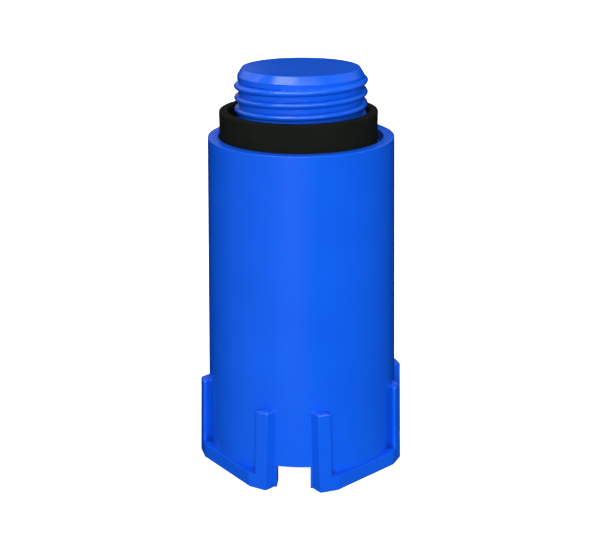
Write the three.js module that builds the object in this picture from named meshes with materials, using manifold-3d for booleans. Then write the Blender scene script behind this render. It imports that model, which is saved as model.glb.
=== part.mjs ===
// Blanking plug for a 1/2 inch pipe fitting, as used to close a wall elbow while the pipework is
// pressure tested and the wall is plastered. Two pieces: a hollow moulded body with a male thread on
// top and a wrench base below, and a rubber sealing ring that stands in a recess round the thread.
//
// Millimetres, +Z up. The origin is the centre of the bottom face. The four slots in the base lie on
// the X and Y axes, and the four wrench flats face the directions halfway between them.

import * as THREE from 'three';
import { mergeVertices } from 'three/addons/utils/BufferGeometryUtils.js';
import Module from 'manifold-3d';

// Thread: right-hand, with the major diameter and pitch of G 1/2. Its ridge is a low, round bead on a
// plain core, as moulded plugs have it.
const THREAD_MAJOR_RADIUS = 20.955 / 2;
const THREAD_PITCH = 25.4 / 14;
const RIDGE_HEIGHT = 0.72;
const RIDGE_HALF_WIDTH = 0.62;
const CORE_RADIUS = THREAD_MAJOR_RADIUS - RIDGE_HEIGHT;
const RIDGE_BITE = 0.5; // how far the ridge reaches into the core
const RUN_OUT_SINK = 0.1; // how far under the core's surface the ridge ends
const RIDGE_STEPS = 6; // flats across the ridge's rounded outline
const THREAD_BOTTOM = 54.3; // height of the crest where the ridge starts
const THREAD_TOP = 63.98; // height of the crest where the ridge ends
const THREAD_END_ANGLE = THREE.MathUtils.degToRad(70);
const RUN_OUT_ANGLE = THREE.MathUtils.degToRad(60);

// Nose: a plain lead-in collar, then a chamfer up to the closed flat end.
const PLUG_HEIGHT = 65.5;
const NOSE_RADIUS = 9.23;
const COLLAR_RADIUS = 9.93;
const COLLAR_BOTTOM = 63.6;
const CHAMFER_BOTTOM = 64.35;
const NOSE_THICKNESS = 2.8;
const STUB_BORE_RADIUS = 6.8;

// Shell: a slightly tapered tube, closed at the top by a deck with the recess for the ring in it.
const SHELL_BOTTOM_RADIUS = 16.19;
const RIM_RADIUS = 14.79;
const RIM_HEIGHT = 54.78;
const RECESS_RADIUS = 13.0;
const RECESS_DEPTH = 1.9;
const DECK_THICKNESS = 2.9;
const WALL = 2.2;

// Wrench base: a square with each corner cut off by two faces, 22.5 degrees away from the flats, which
// lean in a little towards the top. Each side is a frame of two ribs and a bottom band, and a slot goes
// through the wall between one frame and the next.
const FLAT_DISTANCE = 16.5;
const CORNER_FACES = 8; // the corner faces are the sides of a tapered octagon
const CORNER_BOTTOM_DISTANCE = 17.65;
const CORNER_TOP_DISTANCE = 17.09; // at the top of the ribs
const FRAME_HALF_WIDTH = 9.05;
const RIB_WIDTH = 2.16;
const RIB_TOP = 13.8;
const BAND_HEIGHT = 2.5;
const SLOT_WIDTH = 5.5;
const SLOT_HEIGHT = 3.9;
const FRAME_COUNT = 4;

// Sealing ring: loose in its recess, so it stands a little off centre, towards -X.
const RING_OUTER_RADIUS = 12.52;
const RING_INNER_RADIUS = 11.1;
const RING_TOP = 58.87;
const RING_FLOOR_GAP = 0.1;
const RING_OFFSET = 0.4;

const ROUND_STEPS = 48; // flats round every turned surface and every turn of the thread
const REACH = 25; // half-length of a cutting block, past everything it has to cut
const OVERCUT = 1; // how far a cutter starts below the bottom face
const WELD = 1e-4;

const deckTop = RIM_HEIGHT - RECESS_DEPTH;
const deckUnderside = deckTop - DECK_THICKNESS;

const wasm = await Module();
wasm.setup();

function shellRadiusAt(height) {
  return THREE.MathUtils.mapLinear(height, 0, RIM_HEIGHT, SHELL_BOTTOM_RADIUS, RIM_RADIUS);
}

// Turns a closed geometry into a manifold solid.
function solidOf(geometry) {
  geometry.deleteAttribute('normal');
  geometry.deleteAttribute('uv');
  const merged = mergeVertices(geometry, WELD);
  const corners = merged.index.array;
  const triangles = [];
  for (let i = 0; i < corners.length; i += 3) {
    const [a, b, c] = corners.slice(i, i + 3);
    if (a !== b && b !== c && c !== a) {
      triangles.push(a, b, c);
    }
  }
  return new wasm.Manifold(new wasm.Mesh({
    numProp: 3,
    vertProperties: merged.attributes.position.array,
    triVerts: new Uint32Array(triangles),
  }));
}

// Turns a manifold solid back into a geometry.
function geometryOf(solid) {
  const mesh = solid.getMesh();
  const geometry = new THREE.BufferGeometry();
  geometry.setAttribute('position', new THREE.BufferAttribute(mesh.vertProperties, 3));
  geometry.setIndex(new THREE.BufferAttribute(mesh.triVerts, 1));
  geometry.computeVertexNormals();
  return geometry;
}

// Turns an outline of [radius, height] pairs about the Z axis. The first corner is on the -Y side.
function turned(outline, steps = ROUND_STEPS) {
  const points = outline.map(([radius, height]) => new THREE.Vector2(radius, height));
  return new THREE.LatheGeometry(points, steps).rotateX(Math.PI / 2);
}

// A block given by its lowest and highest corners.
function block(low, high) {
  const size = new THREE.Vector3().subVectors(high, low);
  const middle = new THREE.Vector3().addVectors(low, high).multiplyScalar(0.5);
  return new THREE.BoxGeometry(...size).translate(...middle);
}

// The helix that the thread's crest follows. At each end the radius shrinks until the ridge has
// sunk into the core.
class CrestPath extends THREE.Curve {
  constructor() {
    super();
    this.turn = 2 * Math.PI * (THREAD_TOP - THREAD_BOTTOM) / THREAD_PITCH;
  }

  getPoint(t, target = new THREE.Vector3()) {
    const travelled = t * this.turn;
    const toNearerEnd = Math.min(travelled, this.turn - travelled);
    const rise = THREE.MathUtils.smoothstep(toNearerEnd, 0, RUN_OUT_ANGLE);
    const radius = THREAD_MAJOR_RADIUS - (RIDGE_HEIGHT + RUN_OUT_SINK) * (1 - rise);
    const angle = THREAD_END_ANGLE - this.turn + travelled;
    const height = THREE.MathUtils.lerp(THREAD_BOTTOM, THREAD_TOP, t);
    return target.set(radius * Math.cos(angle), radius * Math.sin(angle), height);
  }

  // The section stays upright and points away from the Z axis all along the helix.
  computeFrenetFrames(segments) {
    const frames = { tangents: [], normals: [], binormals: [] };
    for (let i = 0; i <= segments; i++) {
      const point = this.getPointAt(i / segments);
      const normal = new THREE.Vector3(point.x, point.y, 0).normalize();
      const binormal = new THREE.Vector3(0, 0, -1);
      frames.normals.push(normal);
      frames.binormals.push(binormal);
      frames.tangents.push(new THREE.Vector3().crossVectors(normal, binormal));
    }
    return frames;
  }
}

// The ridge's section, half an ellipse on a straight foot: x is the distance out from the crest, y is
// the height.
function ridgeSection() {
  const section = new THREE.Shape();
  section.moveTo(-RIDGE_HEIGHT - RIDGE_BITE, -RIDGE_HALF_WIDTH);
  for (let i = 0; i <= RIDGE_STEPS; i++) {
    const angle = Math.PI * i / RIDGE_STEPS;
    section.lineTo(RIDGE_HEIGHT * (Math.sin(angle) - 1), -RIDGE_HALF_WIDTH * Math.cos(angle));
  }
  section.lineTo(-RIDGE_HEIGHT - RIDGE_BITE, RIDGE_HALF_WIDTH);
  return section;
}

function threadRidge() {
  const path = new CrestPath();
  const steps = Math.round(ROUND_STEPS * path.turn / (2 * Math.PI));
  return new THREE.ExtrudeGeometry(ridgeSection(), { steps, extrudePath: path });
}

// The turned part of the body: shell, deck, recess, thread core and nose, with the hollow inside.
function turnedBody() {
  return turned([
    [0, PLUG_HEIGHT - NOSE_THICKNESS],
    [STUB_BORE_RADIUS, PLUG_HEIGHT - NOSE_THICKNESS],
    [STUB_BORE_RADIUS, deckUnderside],
    [shellRadiusAt(deckUnderside) - WALL, deckUnderside],
    [SHELL_BOTTOM_RADIUS - WALL, 0],
    [SHELL_BOTTOM_RADIUS, 0],
    [RIM_RADIUS, RIM_HEIGHT],
    [RECESS_RADIUS, RIM_HEIGHT],
    [RECESS_RADIUS, deckTop],
    [CORE_RADIUS, deckTop],
    [CORE_RADIUS, COLLAR_BOTTOM],
    [COLLAR_RADIUS, COLLAR_BOTTOM],
    [COLLAR_RADIUS, CHAMFER_BOTTOM],
    [NOSE_RADIUS, PLUG_HEIGHT],
    [0, PLUG_HEIGHT],
  ]);
}

// One frame of the wrench base, on the side that faces +X: a slab cut back to the base's corner faces,
// with the window between its ribs and the hollow of the shell taken out.
function wrenchFrame() {
  const innerFace = SHELL_BOTTOM_RADIUS - 2 * WALL;
  const ribInner = FRAME_HALF_WIDTH - RIB_WIDTH;
  const slab = block(
    new THREE.Vector3(innerFace, -FRAME_HALF_WIDTH, 0),
    new THREE.Vector3(FLAT_DISTANCE, FRAME_HALF_WIDTH, RIB_TOP),
  );
  const faceToCorner = 1 / Math.cos(Math.PI / CORNER_FACES);
  const corners = turned([
    [0, 0],
    [CORNER_BOTTOM_DISTANCE * faceToCorner, 0],
    [CORNER_TOP_DISTANCE * faceToCorner, RIB_TOP],
    [0, RIB_TOP],
  ], CORNER_FACES);
  const window = block(
    new THREE.Vector3(0, -ribInner, BAND_HEIGHT),
    new THREE.Vector3(REACH, ribInner, REACH),
  );
  const hollow = turned([
    [0, -OVERCUT],
    [shellRadiusAt(-OVERCUT) - WALL, -OVERCUT],
    [shellRadiusAt(REACH) - WALL, REACH],
    [0, REACH],
  ]);
  return solidOf(slab).intersect(solidOf(corners)).subtract(solidOf(window)).subtract(solidOf(hollow));
}

function plugBody() {
  let body = solidOf(turnedBody()).add(solidOf(threadRidge()));
  const frame = wrenchFrame();
  for (let i = 0; i < FRAME_COUNT; i++) {
    const turnDegrees = (i + 0.5) * 360 / FRAME_COUNT;
    body = body.add(frame.rotate([0, 0, turnDegrees]));
  }
  const halfSlot = SLOT_WIDTH / 2;
  const slotAlongX = block(
    new THREE.Vector3(-REACH, -halfSlot, -OVERCUT),
    new THREE.Vector3(REACH, halfSlot, SLOT_HEIGHT),
  );
  const slotAlongY = slotAlongX.clone().rotateZ(Math.PI / 2);
  body = body.subtract(solidOf(slotAlongX)).subtract(solidOf(slotAlongY));
  return geometryOf(body);
}

function sealingRing() {
  const bottom = deckTop + RING_FLOOR_GAP;
  return turned([
    [RING_INNER_RADIUS, bottom],
    [RING_OUTER_RADIUS, bottom],
    [RING_OUTER_RADIUS, RING_TOP],
    [RING_INNER_RADIUS, RING_TOP],
    [RING_INNER_RADIUS, bottom],
  ]);
}

const bluePlastic = new THREE.MeshStandardMaterial({ color: 0x1a5ce6, roughness: 0.35, metalness: 0 });
const blackRubber = new THREE.MeshStandardMaterial({ color: 0x131411, roughness: 0.6, metalness: 0 });

const body = new THREE.Mesh(plugBody(), bluePlastic);
body.name = 'plug_body';

const ring = new THREE.Mesh(sealingRing(), blackRubber);
ring.name = 'sealing_ring';
ring.position.x = -RING_OFFSET;

const plug = new THREE.Group();
plug.add(body, ring);

export default plug;
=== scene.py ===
"""Blender looks for the pipe test plug: a hollow blue moulding with a male thread, and a loose black ring.

Both CAD nodes are replaced by finer meshes of the same shape. The body is one closed skin, made as
rows of points from the nose down the outside, across the foot and up the inside, with every column
running through all the rows. Lengths are in millimetres until a mesh is made, which is in metres.
"""
import math

import bpy
import numpy as np
from mathutils import Matrix, Vector


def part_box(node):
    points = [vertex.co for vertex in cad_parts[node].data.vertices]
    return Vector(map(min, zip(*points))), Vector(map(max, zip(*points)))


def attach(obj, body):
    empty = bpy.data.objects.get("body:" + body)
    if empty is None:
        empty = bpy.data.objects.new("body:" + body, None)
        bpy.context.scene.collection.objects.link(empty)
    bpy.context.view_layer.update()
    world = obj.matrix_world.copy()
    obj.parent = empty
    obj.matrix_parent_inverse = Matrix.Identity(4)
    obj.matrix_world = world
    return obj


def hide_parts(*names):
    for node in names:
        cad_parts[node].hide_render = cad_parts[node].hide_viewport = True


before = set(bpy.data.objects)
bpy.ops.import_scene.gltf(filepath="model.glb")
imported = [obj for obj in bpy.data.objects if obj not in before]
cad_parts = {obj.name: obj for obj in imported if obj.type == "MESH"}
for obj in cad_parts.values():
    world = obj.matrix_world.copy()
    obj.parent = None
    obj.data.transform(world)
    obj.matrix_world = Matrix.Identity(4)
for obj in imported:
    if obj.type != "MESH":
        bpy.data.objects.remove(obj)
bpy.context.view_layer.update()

MM = 0.001

# ---------------------------------------------------------------- sizes, in millimetres

PLUG_HEIGHT = (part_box("plug_body")[1] / MM).z
NOSE_RADIUS = 9.23
COLLAR_RADIUS = 9.93
COLLAR_BOTTOM = 63.6
CHAMFER_BOTTOM = 64.35
NOSE_THICKNESS = 2.8
STUB_BORE_RADIUS = 6.8

THREAD_MAJOR_RADIUS = 20.955 / 2
THREAD_PITCH = 25.4 / 14
RIDGE_HEIGHT = 0.72
RIDGE_HALF_WIDTH = 0.52
CORE_RADIUS = THREAD_MAJOR_RADIUS - RIDGE_HEIGHT
THREAD_BOTTOM = 54.3
THREAD_TOP = 63.88
THREAD_END_ANGLE = math.radians(70)  # where the top turn ends, counted from +X
RUN_OUT_ANGLE = math.radians(60)  # how much of a turn the ridge takes to rise, at either end
RUN_OUT_SINK = 0.1  # how far below the core the ridge starts
THREAD_ROW_STEP = 0.06
VALLEY_BLEND = 0.1  # where ridge and core differ by less than this, one runs softly into the other

SHELL_BOTTOM_RADIUS = 16.19
RIM_RADIUS = 14.79
RIM_HEIGHT = 54.78
RECESS_RADIUS = 13.0
RECESS_DEPTH = 1.9
DECK_THICKNESS = 2.9
WALL = 2.2

# The base is a square whose corners are cut by two faces each. Distances are from the axis.
FLAT_DISTANCE = 16.5
CORNER_BOTTOM_DISTANCE = 17.65
CORNER_TOP_DISTANCE = 17.09
CORNER_TILT = math.radians(22.5)  # between a corner face and the wrench flat beside it
FRAME_HALF_WIDTH = 9.05
RIB_WIDTH = 2.16
RIB_TOP = 13.8
BAND_HEIGHT = 2.5
SLOT_HALF_WIDTH = 2.75
SLOT_HEIGHT = 3.9

# Roundings: first the body's ordinary edges, then those that are sharper or softer.
EDGE_RADIUS = 0.3
NOSE_EDGE_RADIUS = 0.12
RECESS_EDGE_RADIUS = 0.15
RECESS_FILLET = 0.3
RIM_EDGE_RADIUS = 0.1
RIB_TOP_RADIUS = 0.42
FOOT_RADIUS = 0.12
BAND_EDGE_RADIUS = 0.05
BOTTOM_EDGE_RADIUS = 0.15
HOLLOW_FILLET = 0.6
EDGE_STEPS = 4

RING_LOW, RING_HIGH = (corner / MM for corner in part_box("sealing_ring"))
RING_WALL = 1.42
RING_EDGE_RADIUS = 0.22

DECK_TOP = RIM_HEIGHT - RECESS_DEPTH
DECK_UNDERSIDE = DECK_TOP - DECK_THICKNESS
RIB_INNER = FRAME_HALF_WIDTH - RIB_WIDTH


def shell_radius(z):
    """The outside radius of the shell at a height."""
    return np.interp(z, [0, RIM_HEIGHT], [SHELL_BOTTOM_RADIUS, RIM_RADIUS])


def hollow_radius(z):
    """The radius of the hollow inside the shell at a height."""
    return float(shell_radius(z)) - WALL


def corner_distance(z):
    """How far a corner face is from the axis at a height."""
    return float(np.interp(z, [0, RIB_TOP], [CORNER_BOTTOM_DISTANCE, CORNER_TOP_DISTANCE]))


# ---------------------------------------------------------------- outline helpers


def rounded(corners):
    """A polyline of (radius, height, corner radius) with an arc in place of each corner."""
    corners = [np.array(c, float) for c in corners]
    points = [corners[0][:2]]
    for before, corner, after in zip(corners, corners[1:], corners[2:]):
        if corner[2] == 0:
            points.append(corner[:2])
            continue
        to_before = before[:2] - corner[:2]
        to_after = after[:2] - corner[:2]
        to_before /= np.linalg.norm(to_before)
        to_after /= np.linalg.norm(to_after)
        half_angle = math.acos(np.clip(to_before @ to_after, -1, 1)) / 2
        middle = to_before + to_after
        middle /= np.linalg.norm(middle)
        centre = corner[:2] + middle * corner[2] / math.sin(half_angle)
        reach = corner[2] / math.tan(half_angle)
        start = corner[:2] + to_before * reach - centre
        end = corner[:2] + to_after * reach - centre
        sweep = math.pi - 2 * half_angle
        for i in range(EDGE_STEPS + 1):
            share = i / EDGE_STEPS
            arm = (math.sin((1 - share) * sweep) * start + math.sin(share * sweep) * end) / math.sin(sweep)
            points.append(centre + arm)
    points.append(corners[-1][:2])
    return points


def arc(centre, start, end, steps):
    """Points round centre from start to end, the short way, without the first one."""
    centre, start, end = (np.array(p, float) for p in (centre, start, end))
    first = math.atan2(*(start - centre)[::-1])
    turn = (math.atan2(*(end - centre)[::-1]) - first + math.pi) % (2 * math.pi) - math.pi
    radius = np.linalg.norm(start - centre)
    angles = first + turn * np.arange(1, steps + 1) / steps
    return [centre + radius * np.array([math.cos(a), math.sin(a)]) for a in angles]


def line(start, end, steps):
    """Points from start to end, without the first one."""
    return [start + (end - start) * i / steps for i in range(1, steps + 1)]


def quarter_round(radius):
    """Steps round an edge: how far each is in from the edge's first face and from its second."""
    angles = [math.pi / 2 * i / EDGE_STEPS for i in range(EDGE_STEPS + 1)]
    return [(radius * (1 - math.sin(a)), radius * (1 - math.cos(a))) for a in angles]


# ---------------------------------------------------------------- columns of the body

# An eighth of the outline, from the middle of a slot to the middle of a wrench flat, has these
# stretches, each with its number of steps.
SLOT_STEPS = 6
LEDGE_STEPS = 1  # from the slot's edge to the rib's foot
FOOT_STEPS = 2
SIDE_STEPS = 2
CORNER_STEPS = 3
RIB_STEPS = 4
WINDOW_SIDE_STEPS = 2
PANEL_STEPS = 12
EIGHTH_STEPS = (
    SLOT_STEPS + LEDGE_STEPS + 2 * FOOT_STEPS + SIDE_STEPS + 2 * CORNER_STEPS + RIB_STEPS
    + WINDOW_SIDE_STEPS + PANEL_STEPS
)
FRAME_END = EIGHTH_STEPS - PANEL_STEPS
QUARTERS = 4
QUARTER_STEPS = 2 * EIGHTH_STEPS
COLUMNS = QUARTERS * QUARTER_STEPS
COLUMN_ANGLES = 2 * math.pi * np.arange(COLUMNS) / COLUMNS
EIGHTH = math.pi / 4
FACE_OUT = np.array([math.sin(CORNER_TILT), math.cos(CORNER_TILT)])

# In an outline, x is the distance across the wrench flat and y the distance out from the axis.


def polar(angle_from_slot, radius):
    """The point at an angle from the middle of the slot and a distance from the axis."""
    angle = EIGHTH - angle_from_slot
    return np.array([radius * math.sin(angle), radius * math.cos(angle)])


def angle_from_slot(point):
    """The angle from the middle of the slot to a point."""
    return EIGHTH - math.atan2(point[0], point[1])


def circle_at(across, radius):
    """The point on a circle about the axis at a given distance across the flat."""
    return np.array([across, math.sqrt(radius * radius - across * across)])


def corner_face_at(across, distance):
    """The point on a corner face, at a distance from the axis, at a given distance across the flat."""
    return np.array([across, (distance - across * math.sin(CORNER_TILT)) / math.cos(CORNER_TILT)])


def frame_corners(shell, face, inset):
    """The centres of the four small arcs in a rib's outline, from the slot's side to the window's."""
    outer = FRAME_HALF_WIDTH - inset
    inner = RIB_INNER + inset
    return {
        "outer": outer,
        "inner": inner,
        "outer_foot": circle_at(outer + FOOT_RADIUS, shell + FOOT_RADIUS),
        "outer_edge": corner_face_at(outer - EDGE_RADIUS, face - inset - EDGE_RADIUS),
        "inner_edge": corner_face_at(inner + EDGE_RADIUS, face - inset - EDGE_RADIUS),
        "inner_foot": circle_at(inner - FOOT_RADIUS, shell + FOOT_RADIUS),
    }


def slot_angle_at(z, shell, foot_start):
    """The slot's edge is straight as far up as the slot goes, and above it keeps beside the rib."""
    if z <= SLOT_HEIGHT:
        return math.asin(SLOT_HALF_WIDTH / shell)
    top_shell = shell_radius(SLOT_HEIGHT)
    top = frame_corners(top_shell, corner_distance(SLOT_HEIGHT), 0)
    top_foot = top["outer_foot"] * top_shell / (top_shell + FOOT_RADIUS)
    share = math.asin(SLOT_HALF_WIDTH / top_shell) / angle_from_slot(top_foot)
    return share * angle_from_slot(foot_start)


def to_rib_end(z, inset, shell):
    """The first stretches of an outline, from the middle of a slot across the rib's corner face.

    Also gives the frame's corners."""
    c = frame_corners(shell, corner_distance(z), inset)
    foot_start = c["outer_foot"] * shell / (shell + FOOT_RADIUS)
    side_start = np.array([c["outer"], c["outer_foot"][1]])
    side_end = np.array([c["outer"], c["outer_edge"][1]])
    face_start = c["outer_edge"] + FACE_OUT * EDGE_RADIUS
    face_end = c["inner_edge"] + FACE_OUT * EDGE_RADIUS
    slot_angle = slot_angle_at(z, shell, foot_start)
    points = [polar(slot_angle * i / SLOT_STEPS, shell) for i in range(SLOT_STEPS + 1)]
    points += line(points[-1], foot_start, LEDGE_STEPS)
    points += arc(c["outer_foot"], foot_start, side_start, FOOT_STEPS)
    points += line(side_start, side_end, SIDE_STEPS)
    points += arc(c["outer_edge"], side_end, face_start, CORNER_STEPS)
    points += line(face_start, face_end, RIB_STEPS)
    return points, c


def rib_outline(z, inset=0.0):
    """The outline at a height where the ribs stand apart: shell, rib, shell."""
    shell = shell_radius(z)
    points, c = to_rib_end(z, inset, shell)
    window_start = np.array([c["inner"], c["inner_edge"][1]])
    window_end = np.array([c["inner"], c["inner_foot"][1]])
    foot_end = c["inner_foot"] * shell / (shell + FOOT_RADIUS)
    points += arc(c["inner_edge"], points[-1], window_start, CORNER_STEPS)
    points += line(window_start, window_end, WINDOW_SIDE_STEPS)
    points += arc(c["inner_foot"], window_end, foot_end, FOOT_STEPS)
    points += arc((0, 0), foot_end, polar(EIGHTH, shell), PANEL_STEPS)
    return points


def band_outline(z, inset, everywhere=False):
    """The outline at a height where a band joins the ribs: shell, rib, corner face, flat.

    The inset is for the band only, growing from nothing beside the rib, or for everything."""
    all_inset = inset if everywhere else 0.0
    face = corner_distance(z)
    points, _ = to_rib_end(z, all_inset, shell_radius(z) - all_inset)
    rib_end = points[-1][0]
    crease = (face - FLAT_DISTANCE * math.cos(CORNER_TILT)) / math.sin(CORNER_TILT)
    to_crease = CORNER_STEPS + WINDOW_SIDE_STEPS
    to_middle = EIGHTH_STEPS + 1 - len(points) - to_crease
    stops = [rib_end + (crease - rib_end) * i / to_crease for i in range(1, to_crease + 1)]
    stops += [crease * (1 - i / to_middle) for i in range(1, to_middle + 1)]
    for i, across in enumerate(stops, 1):
        grown = inset if everywhere else inset * min(1.0, i / to_crease)
        out = corner_face_at(across, face - grown)[1]
        points.append(np.array([across, min(FLAT_DISTANCE - grown, out)]))
    return points


def shell_outline(z, evenness):
    """The plain shell above the ribs. Its columns start where the ribs' columns end and spread out."""
    angles = [angle_from_slot(p) for p in rib_top_on_shell()]
    even = [EIGHTH * i / EIGHTH_STEPS for i in range(EIGHTH_STEPS + 1)]
    return [polar(a + (e - a) * evenness, shell_radius(z)) for a, e in zip(angles, even)]


def rib_top_on_shell():
    """The outline at the ribs' top with the ribs taken away."""
    points = rib_outline(RIB_TOP, RIB_TOP_RADIUS)
    first = SLOT_STEPS + LEDGE_STEPS
    start, end = angle_from_slot(points[first]), angle_from_slot(points[FRAME_END])
    for i in range(first, FRAME_END + 1):
        share = (i - first) / (FRAME_END - first)
        points[i] = polar(start + (end - start) * share, shell_radius(RIB_TOP))
    return points


# ---------------------------------------------------------------- rows of the body

CLOSING_RADIUS = 0.5  # of the flat disc that closes the skin at either end
CHAMFER_OVERLAP = 0.1  # the thread's rows begin this far below the chamfer
RIM_ZONE = 3  # the shell's round rows end this far below the rim
EVEN_FROM = 30.0  # from here up, the shell's columns are evenly spaced
SHELL_ROWS = 12
RIB_ROWS = 5
HOLLOW_ROWS = 8
DECK_ZONE = 1  # the straight hollow's rows end this far below the deck


def full_row(eighth, z):
    """Eight copies of an eighth of an outline, turned and mirrored into a whole row of points."""
    angles = [angle_from_slot(p) for p in eighth]
    radii = [float(np.linalg.norm(p)) for p in eighth]
    row = []
    for quarter in range(QUARTERS):
        slot = quarter * 2 * EIGHTH
        next_slot = slot + 2 * EIGHTH
        row += [(r * math.cos(slot + a), r * math.sin(slot + a), z) for a, r in zip(angles, radii)][:-1]
        row += [
            (r * math.cos(next_slot - a), r * math.sin(next_slot - a), z)
            for a, r in zip(angles[:0:-1], radii[:0:-1])
        ]
    return np.array(row)


def round_row(radius, z):
    """A row of evenly spaced points; the radius may be one number or one for each column."""
    x = radius * np.cos(COLUMN_ANGLES)
    y = radius * np.sin(COLUMN_ANGLES)
    return np.stack([x, y, np.full(COLUMNS, z)], 1)


def inner_row(radius, z, slot_half_width):
    """A row on the inside, whose columns meet the slots' edges."""
    edge = math.asin(slot_half_width / radius)
    rest = EIGHTH_STEPS - SLOT_STEPS
    angles = [edge * i / SLOT_STEPS for i in range(SLOT_STEPS)]
    angles += [edge + (EIGHTH - edge) * i / rest for i in range(rest + 1)]
    return full_row([polar(a, radius) for a in angles], z)


def smooth_max(a, b):
    """The larger of two radii, with the crossing rounded where they are nearly the same."""
    gap = np.clip(VALLEY_BLEND - np.abs(a - b), 0, None) / VALLEY_BLEND
    return np.maximum(a, b) + gap * gap * VALLEY_BLEND / 4


def thread_radius(z):
    """The stub's radius at a height, for each column: core, ridge and collar."""
    behind_end = (THREAD_END_ANGLE - COLUMN_ANGLES) % (2 * math.pi)
    top_crest = THREAD_TOP - THREAD_PITCH * behind_end / (2 * math.pi)
    turn = np.round((top_crest - z) / THREAD_PITCH)
    crest = top_crest - turn * THREAD_PITCH
    travelled = behind_end + 2 * math.pi * turn
    whole = 2 * math.pi * (THREAD_TOP - THREAD_BOTTOM) / THREAD_PITCH
    to_end = np.clip(np.minimum(travelled, whole - travelled) / RUN_OUT_ANGLE, 0, 1)
    rise = to_end * to_end * (3 - 2 * to_end)
    across = np.clip(np.abs(z - crest) / RIDGE_HALF_WIDTH, 0, 1)
    ridge = THREAD_MAJOR_RADIUS - RIDGE_HEIGHT * (1 - np.sqrt(1 - across ** 2))
    ridge -= (RIDGE_HEIGHT + RUN_OUT_SINK) * (1 - rise)
    collar = COLLAR_RADIUS - max(0.0, COLLAR_BOTTOM - z)
    return smooth_max(smooth_max(ridge, CORE_RADIUS), collar)


def turned_rows(corners):
    """Round rows down an outline of (radius, height, corner radius)."""
    return [round_row(radius, z) for radius, z in rounded(corners)]


def outside_rows():
    """From the edge of the nose's closing disc down to the top of the slots."""
    thread_start = CHAMFER_BOTTOM - CHAMFER_OVERLAP
    thread_end = DECK_TOP + RECESS_FILLET
    rows = turned_rows([
        (CLOSING_RADIUS, PLUG_HEIGHT, 0),
        (NOSE_RADIUS, PLUG_HEIGHT, NOSE_EDGE_RADIUS),
        (COLLAR_RADIUS, CHAMFER_BOTTOM, NOSE_EDGE_RADIUS),
        (COLLAR_RADIUS, thread_start, 0),
    ])[:-1]
    for z in np.linspace(thread_start, thread_end, round((thread_start - thread_end) / THREAD_ROW_STEP)):
        rows.append(round_row(thread_radius(z), z))
    core = float(thread_radius(thread_end)[0])
    rows += turned_rows([
        (core, thread_start, 0),
        (core, DECK_TOP, RECESS_FILLET),
        (RECESS_RADIUS, DECK_TOP, RECESS_FILLET),
        (RECESS_RADIUS, RIM_HEIGHT, RECESS_EDGE_RADIUS),
        (RIM_RADIUS, RIM_HEIGHT, RIM_EDGE_RADIUS),
        (float(shell_radius(RIM_HEIGHT - RIM_ZONE)), RIM_HEIGHT - RIM_ZONE, 0),
    ])[1:]
    for z in np.linspace(RIM_HEIGHT - 2 * RIM_ZONE, RIB_TOP, SHELL_ROWS):
        evenness = np.clip((z - RIB_TOP) / (EVEN_FROM - RIB_TOP), 0, 1)
        rows.append(full_row(shell_outline(z, evenness), z))
    for inset, drop in quarter_round(RIB_TOP_RADIUS):
        rows.append(full_row(rib_outline(RIB_TOP - drop, inset), RIB_TOP - drop))
    for z in np.linspace(RIB_TOP - RIB_TOP_RADIUS, SLOT_HEIGHT, RIB_ROWS)[1:]:
        rows.append(full_row(rib_outline(z), z))
    return rows


def foot_rows():
    """From the band's top down the outside and round the bottom edge into the hollow."""
    rows = [full_row(rib_outline(BAND_HEIGHT), BAND_HEIGHT)]
    for inset, drop in quarter_round(BAND_EDGE_RADIUS):
        rows.append(full_row(band_outline(BAND_HEIGHT - drop, inset), BAND_HEIGHT - drop))
    for z, inset in quarter_round(BOTTOM_EDGE_RADIUS):
        rows.append(full_row(band_outline(z, inset, everywhere=True), z))
    for inset, z in quarter_round(EDGE_RADIUS):
        rows.append(inner_row(hollow_radius(z) + inset, z, SLOT_HALF_WIDTH))
    return rows


def inside_rows():
    """From the top of the slots up the hollow to the closing disc under the nose."""
    start = hollow_radius(SLOT_HEIGHT)
    straight_end = DECK_UNDERSIDE - DECK_ZONE
    rows = []
    for z in np.linspace(SLOT_HEIGHT, straight_end, HOLLOW_ROWS):
        radius = hollow_radius(z)
        rows.append(inner_row(radius, z, SLOT_HALF_WIDTH * radius / start))
    nose_underside = PLUG_HEIGHT - NOSE_THICKNESS
    rows += turned_rows([
        (hollow_radius(straight_end), straight_end, 0),
        (hollow_radius(DECK_UNDERSIDE), DECK_UNDERSIDE, HOLLOW_FILLET),
        (STUB_BORE_RADIUS, DECK_UNDERSIDE, HOLLOW_FILLET),
        (STUB_BORE_RADIUS, nose_underside, HOLLOW_FILLET),
        (CLOSING_RADIUS, nose_underside, 0),
    ])[1:]
    return rows


# ---------------------------------------------------------------- meshes

SHARP_ANGLE = math.radians(40)
WELD_DISTANCE = 0.001


def mesh_object(name, points, faces):
    """A mesh object, made in metres from points in millimetres."""
    mesh = bpy.data.meshes.new(name)
    mesh.from_pydata([tuple(p * MM) for p in points], [], faces)
    mesh.validate()
    mesh.update()
    obj = bpy.data.objects.new(name, mesh)
    bpy.context.scene.collection.objects.link(obj)
    return obj


def finish_shading(obj):
    """Smooth faces, with sharp edges past an angle and flat faces kept flat beside small arcs."""
    obj.data.shade_smooth()
    obj.data.set_sharp_from_angle(angle=SHARP_ANGLE)
    weighted = obj.modifiers.new("weighted_normals", "WEIGHTED_NORMAL")
    weighted.keep_sharp = True


def in_slot(column):
    """Whether the strip of faces after this column lies inside a slot."""
    place = column % QUARTER_STEPS
    return place < SLOT_STEPS or place >= QUARTER_STEPS - SLOT_STEPS


def at_slot_edge(column):
    """Whether a slot's side wall stands on this column."""
    place = column % QUARTER_STEPS
    return place in (SLOT_STEPS, QUARTER_STEPS - SLOT_STEPS)


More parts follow.
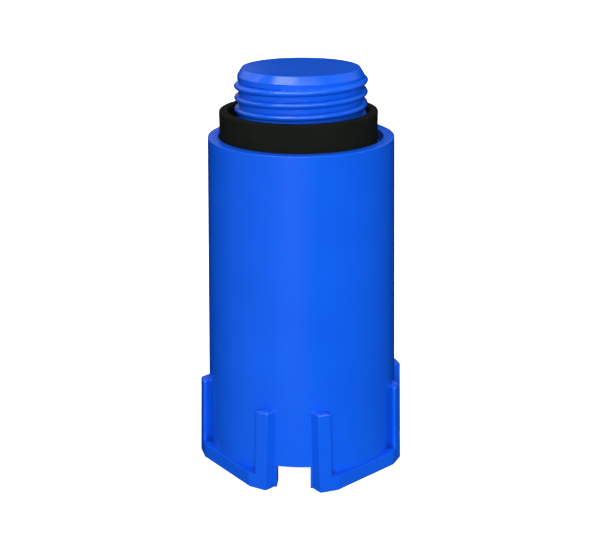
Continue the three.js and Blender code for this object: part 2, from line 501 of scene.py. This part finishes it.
def body_mesh():
    """Points and faces of the whole skin. In the slots, one ceiling joins outside and inside."""
    upper, foot, inside = outside_rows(), foot_rows(), inside_rows()
    rows = upper + foot + inside
    points = np.concatenate(rows)
    slot_top_outside = len(upper) - 1
    slot_top_inside = len(upper) + len(foot)

    def index(row, column):
        return row * COLUMNS + column % COLUMNS

    faces = []
    for row in range(len(rows) - 1):
        in_foot = slot_top_outside <= row < slot_top_inside
        for column in range(COLUMNS):
            if in_foot and in_slot(column):
                continue
            faces.append((index(row, column), index(row + 1, column),
                          index(row + 1, column + 1), index(row, column + 1)))
    for column in range(COLUMNS):
        if in_slot(column):
            faces.append((index(slot_top_outside, column), index(slot_top_inside, column),
                          index(slot_top_inside, column + 1), index(slot_top_outside, column + 1)))
        if at_slot_edge(column):
            side = [index(row, column) for row in range(slot_top_outside, slot_top_inside + 1)]
            slot_ends = column % QUARTER_STEPS == SLOT_STEPS
            faces.append(tuple(side if slot_ends else side[::-1]))
    faces.append(tuple(index(0, column) for column in range(COLUMNS)))
    faces.append(tuple(index(len(rows) - 1, column) for column in range(COLUMNS - 1, -1, -1)))
    return points, faces


def make_body():
    """The plug's skin. Where two rows meet, with no ledge between them, they are welded."""
    body = mesh_object("plug_skin", *body_mesh())
    weld = body.modifiers.new("weld", "WELD")
    weld.merge_threshold = WELD_DISTANCE * MM
    finish_shading(body)
    return body


def make_ring():
    """The sealing ring: a plain tall ring with small rounded edges."""
    centre_x = (RING_LOW.x + RING_HIGH.x) / 2
    outer = (RING_HIGH.y - RING_LOW.y) / 2
    inner = outer - RING_WALL
    middle = (RING_LOW.z + RING_HIGH.z) / 2
    rows = turned_rows([
        (outer, middle, 0),
        (outer, RING_HIGH.z, RING_EDGE_RADIUS),
        (inner, RING_HIGH.z, RING_EDGE_RADIUS),
        (inner, RING_LOW.z, RING_EDGE_RADIUS),
        (outer, RING_LOW.z, RING_EDGE_RADIUS),
        (outer, middle, 0),
    ])[:-1]
    faces = []
    for row in range(len(rows)):
        after = (row + 1) % len(rows)
        for column in range(COLUMNS):
            beside = (column + 1) % COLUMNS
            faces.append((row * COLUMNS + column, row * COLUMNS + beside,
                          after * COLUMNS + beside, after * COLUMNS + column))
    ring = mesh_object("ring_skin", np.concatenate(rows) + np.array([centre_x, 0, 0]), faces)
    finish_shading(ring)
    return ring


# ---------------------------------------------------------------- materials

# These settle the painted shade, darkened into corners and gaps.
CLOSENESS_SAMPLES = 8
DARKEST_OPENNESS = 0.1  # the share of open surroundings at which a corner is darkest
PLAIN_OPENNESS = 0.65  # the share from which the colour isn't darkened


def new_material(name):
    """A new material, its node tree and its shader."""
    material = bpy.data.materials.new(name)
    material.use_nodes = True
    tree = material.node_tree
    return material, tree, tree.nodes["Principled BSDF"]


def noise(tree, scale, detail):
    """Noise laid out in the object's own space, with scale in waves per metre."""
    place = tree.nodes.new("ShaderNodeTexCoord")
    texture = tree.nodes.new("ShaderNodeTexNoise")
    texture.inputs["Scale"].default_value = scale
    texture.inputs["Detail"].default_value = detail
    tree.links.new(place.outputs["Object"], texture.inputs["Vector"])
    return texture.outputs["Fac"]


def ramp(tree, source, stops):
    """A colour that changes with the source, from one stop of (level, colour) to the other."""
    node = tree.nodes.new("ShaderNodeValToRGB")
    for element, (position, colour) in zip(node.color_ramp.elements, stops):
        element.position = position
        element.color = (*colour, 1)
    tree.links.new(source, node.inputs["Fac"])
    return node.outputs["Color"]


def span(tree, source, low, high, start=0.0, end=1.0):
    """A number that goes from low to high as the source goes from start to end."""
    node = tree.nodes.new("ShaderNodeMapRange")
    node.inputs["From Min"].default_value = start
    node.inputs["From Max"].default_value = end
    node.inputs["To Min"].default_value = low
    node.inputs["To Max"].default_value = high
    tree.links.new(source, node.inputs["Value"])
    return node.outputs["Result"]


def bump(tree, height, depth, strength):
    """A fine relief, with its depth in millimetres."""
    node = tree.nodes.new("ShaderNodeBump")
    node.inputs["Distance"].default_value = depth * MM
    node.inputs["Strength"].default_value = strength
    tree.links.new(height, node.inputs["Height"])
    return node.outputs["Normal"]


def painted_corner_shade(tree, colour, reach, lowest):
    """Painted shade: the colour, darkened down to a share of itself where walls close in on it from all
    sides, as shade falls in corners and gaps.
    """
    closeness = tree.nodes.new("ShaderNodeAmbientOcclusion")
    closeness.samples = CLOSENESS_SAMPLES
    closeness.inputs["Distance"].default_value = reach * MM
    share = span(tree, closeness.outputs["AO"], lowest, 1, start=DARKEST_OPENNESS, end=PLAIN_OPENNESS)
    product = tree.nodes.new("ShaderNodeVectorMath")
    product.operation = "SCALE"
    tree.links.new(colour, product.inputs[0])
    tree.links.new(share, product.inputs["Scale"])
    return product.outputs["Vector"]


def blue_plastic():
    """Smooth moulded plastic: slightly cloudy blue with a soft gloss and a hardly visible relief, and
    painted shade darkened into its corners and gaps.
    """
    material, tree, shader = new_material("blue_plastic")
    stops = [(0.3, (0.0026, 0.092, 0.71)), (0.7, (0.0034, 0.102, 0.75))]
    tint = ramp(tree, noise(tree, scale=90, detail=3), stops)
    # Painted shade: the blue is darkened where walls close in, in corners, gaps and thread valleys.
    tint_with_painted_shade = painted_corner_shade(tree, tint, reach=1.6, lowest=0.2)
    gloss = span(tree, noise(tree, scale=300, detail=4), low=0.17, high=0.23)
    skin = bump(tree, noise(tree, scale=1400, detail=2), depth=0.01, strength=0.15)
    tree.links.new(tint_with_painted_shade, shader.inputs["Base Color"])
    tree.links.new(gloss, shader.inputs["Roughness"])
    tree.links.new(skin, shader.inputs["Normal"])
    shader.inputs["Specular IOR Level"].default_value = 0.2
    return material


def black_rubber():
    """Satin moulded rubber, with hardly any gloss."""
    material, tree, shader = new_material("black_rubber")
    stops = [(0.3, (0.0078, 0.0089, 0.0073)), (0.7, (0.0098, 0.0111, 0.0092))]
    tint = ramp(tree, noise(tree, scale=220, detail=4), stops)
    gloss = span(tree, noise(tree, scale=600, detail=4), low=0.45, high=0.58)
    skin = bump(tree, noise(tree, scale=2600, detail=3), depth=0.02, strength=0.3)
    tree.links.new(tint, shader.inputs["Base Color"])
    tree.links.new(gloss, shader.inputs["Roughness"])
    tree.links.new(skin, shader.inputs["Normal"])
    shader.inputs["Specular IOR Level"].default_value = 0.002
    return material


# ---------------------------------------------------------------- studio, in metres

FLOOR_HALF_WIDTH = 3.0
FLOOR_GAP = 0.05 * MM  # between the floor and the plug's feet
ROOM_HALF_WIDTH = 2.8
LIGHT_DISTANCE = 0.9
PANEL_DISTANCE = 0.7


def stage_mesh(name, corners, faces, material):
    """A flat-sided object of the studio."""
    mesh = bpy.data.meshes.new(name)
    mesh.from_pydata(corners, [], faces)
    mesh.materials.append(material)
    obj = bpy.data.objects.new(name, mesh)
    bpy.context.scene.collection.objects.link(obj)
    return obj


def square_mesh(name, half_width, material):
    """A level square round the origin."""
    signs = [(-1, -1), (1, -1), (1, 1), (-1, 1)]
    corners = [(x * half_width, y * half_width, 0) for x, y in signs]
    return stage_mesh(name, corners, [(0, 1, 2, 3)], material)


def glowing_white(name, grey, strength):
    """A matt surface that gives off white light; grey is its own colour under other light."""
    material, _, shader = new_material(name)
    shader.inputs["Base Color"].default_value = (grey, grey, grey, 1)
    shader.inputs["Roughness"].default_value = 0.9
    shader.inputs["Specular IOR Level"].default_value = 0.0
    shader.inputs["Emission Color"].default_value = (1, 1, 1, 1)
    shader.inputs["Emission Strength"].default_value = strength
    return material


def make_floor():
    """A pale, softly glowing ground, as on a light table."""
    floor = square_mesh("floor", FLOOR_HALF_WIDTH, glowing_white("floor_white", 0.9, 0.75))
    floor.location.z = -FLOOR_GAP
    floor.visible_diffuse = False
    floor.visible_glossy = False


def make_backdrop():
    """A white room round everything, which only the camera sees."""
    ends = (-ROOM_HALF_WIDTH, ROOM_HALF_WIDTH)
    corners = [(x, y, z) for z in ends for y in ends for x in ends]
    sides = [(0, 1, 3, 2), (4, 5, 7, 6), (0, 1, 5, 4), (2, 3, 7, 6), (0, 2, 6, 4), (1, 3, 7, 5)]
    backdrop = stage_mesh("backdrop", corners, sides, glowing_white("backdrop_white", 0.0, 1.0))
    backdrop.visible_diffuse = False
    backdrop.visible_glossy = False
    backdrop.visible_shadow = False


def face_target(obj, azimuth, elevation, distance, target):
    """Stand the object off from the target and turn it so that it lights the target.

    Azimuth 0 is in front of the plug, along -Y, and grows towards +X; both angles are in degrees."""
    a, e = math.radians(azimuth), math.radians(elevation)
    out = Vector((math.sin(a) * math.cos(e), -math.cos(a) * math.cos(e), math.sin(e)))
    obj.location = target + out * distance
    obj.rotation_mode = "QUATERNION"
    obj.rotation_quaternion = out.to_track_quat("Z", "Y")


def soft_light(name, azimuth, elevation, size, power, target):
    """A square area light that gives the shading; the panels below give the gloss."""
    data = bpy.data.lights.new(name, "AREA")
    data.shape = "SQUARE"
    data.size = size
    data.energy = power
    light = bpy.data.objects.new(name, data)
    face_target(light, azimuth, elevation, LIGHT_DISTANCE, target)
    light.visible_glossy = False
    bpy.context.scene.collection.objects.link(light)


def panel_glow(name, radiance, soft):
    """An even glow, or a soft one that fades from the panel's middle to its sides."""
    material, tree, shader = new_material(name)
    tree.nodes.remove(shader)
    glow = tree.nodes.new("ShaderNodeEmission")
    if soft:
        place = tree.nodes.new("ShaderNodeTexCoord")
        fade = tree.nodes.new("ShaderNodeTexGradient")
        fade.gradient_type = "SPHERICAL"
        tree.links.new(place.outputs["Object"], fade.inputs["Vector"])
        tree.links.new(span(tree, fade.outputs["Fac"], 0, radiance), glow.inputs["Strength"])
    else:
        glow.inputs["Strength"].default_value = radiance
    tree.links.new(glow.outputs["Emission"], tree.nodes["Material Output"].inputs["Surface"])
    return material


def gloss_panel(name, azimuth, elevation, width, height, radiance, target, soft=False):
    """A glowing panel that shows only in the gloss; width and height are degrees seen from the target."""
    panel = square_mesh(name, 1, panel_glow(name, radiance, soft))
    half_width = PANEL_DISTANCE * math.tan(math.radians(width / 2))
    half_height = PANEL_DISTANCE * math.tan(math.radians(height / 2))
    panel.scale = (half_width, half_height, 1)
    face_target(panel, azimuth, elevation, PANEL_DISTANCE, target)
    panel.visible_camera = False
    panel.visible_diffuse = False
    panel.visible_shadow = False


def make_camera():
    """A camera in front of the plug, a little towards +X, looking down at it."""
    azimuth = math.radians(5.14)
    pitch = math.radians(20.04)
    roll = math.radians(-0.24)
    distance, height, sideways = 167.11 * MM, 92.64 * MM, -0.26 * MM
    data = bpy.data.cameras.new("camera")
    data.sensor_width = 36.0
    data.lens = 64.24
    data.clip_start = 0.01
    data.clip_end = 20.0
    camera = bpy.data.objects.new("camera", data)
    place = Matrix.Rotation(azimuth, 4, "Z") @ Matrix.Translation((sideways, -distance, height))
    turn = Matrix.Rotation(math.pi / 2 - pitch, 4, "X") @ Matrix.Rotation(roll, 4, "Z")
    camera.matrix_world = place @ turn
    bpy.context.scene.collection.objects.link(camera)
    bpy.context.scene.camera = camera


def make_world():
    """Even white light from all round, which doesn't show in the gloss."""
    world = bpy.data.worlds.new("studio")
    world.use_nodes = True
    bpy.context.scene.world = world
    background = world.node_tree.nodes["Background"]
    background.inputs["Color"].default_value = (1, 1, 1, 1)
    background.inputs["Strength"].default_value = 0.38
    world.cycles_visibility.glossy = False
    bpy.context.scene.view_settings.view_transform = "Standard"


def make_lights():
    """Three soft lights, then the panels that give the gloss its shape."""
    middle = Vector((0, 0, PLUG_HEIGHT * MM / 2))
    stub = Vector((0, 0, COLLAR_BOTTOM * MM))
    # Azimuth and elevation in degrees, size in metres, power in watts.
    soft_light("front_light", 6, 20, 0.3, 7.0, middle)
    soft_light("back_light", 185, 15, 0.3, 3.0, middle)
    soft_light("top_light", 0, 89, 0.4, 2.8, middle)
    # Azimuth, elevation, width and height in degrees, radiance.
    gloss_panel("window", -34, 47, 31, 30, 14.0, stub)
    gloss_panel("high_front", 5, 32, 120, 70, 11.0, stub, soft=True)
    gloss_panel("overhead", 170, 76, 100, 76, 2.4, stub, soft=True)
    gloss_panel("left_strip", -93, 36, 7, 30, 5.0, stub)
    gloss_panel("left_wall", -110, 28, 90, 60, 1.8, stub, soft=True)
    gloss_panel("right_wall", 95, 28, 90, 60, 1.6, stub, soft=True)
    gloss_panel("back_left", 197, 10, 20, 40, 0.45, stub, soft=True)
    gloss_panel("back_right", 174, 26, 22, 26, 0.9, stub, soft=True)
    gloss_panel("low_front", -8, -9, 60, 54, 1.4, middle, soft=True)
    gloss_panel("low_left", -50, -12, 90, 60, 0.4, middle, soft=True)


# ---------------------------------------------------------------- the scene

make_camera()
make_world()
make_lights()
make_floor()
make_backdrop()

body = make_body()
body.data.materials.append(blue_plastic())
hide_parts("plug_body")
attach(body, "plug")

ring = make_ring()
ring.data.materials.append(black_rubber())
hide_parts("sealing_ring")
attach(ring, "ring")
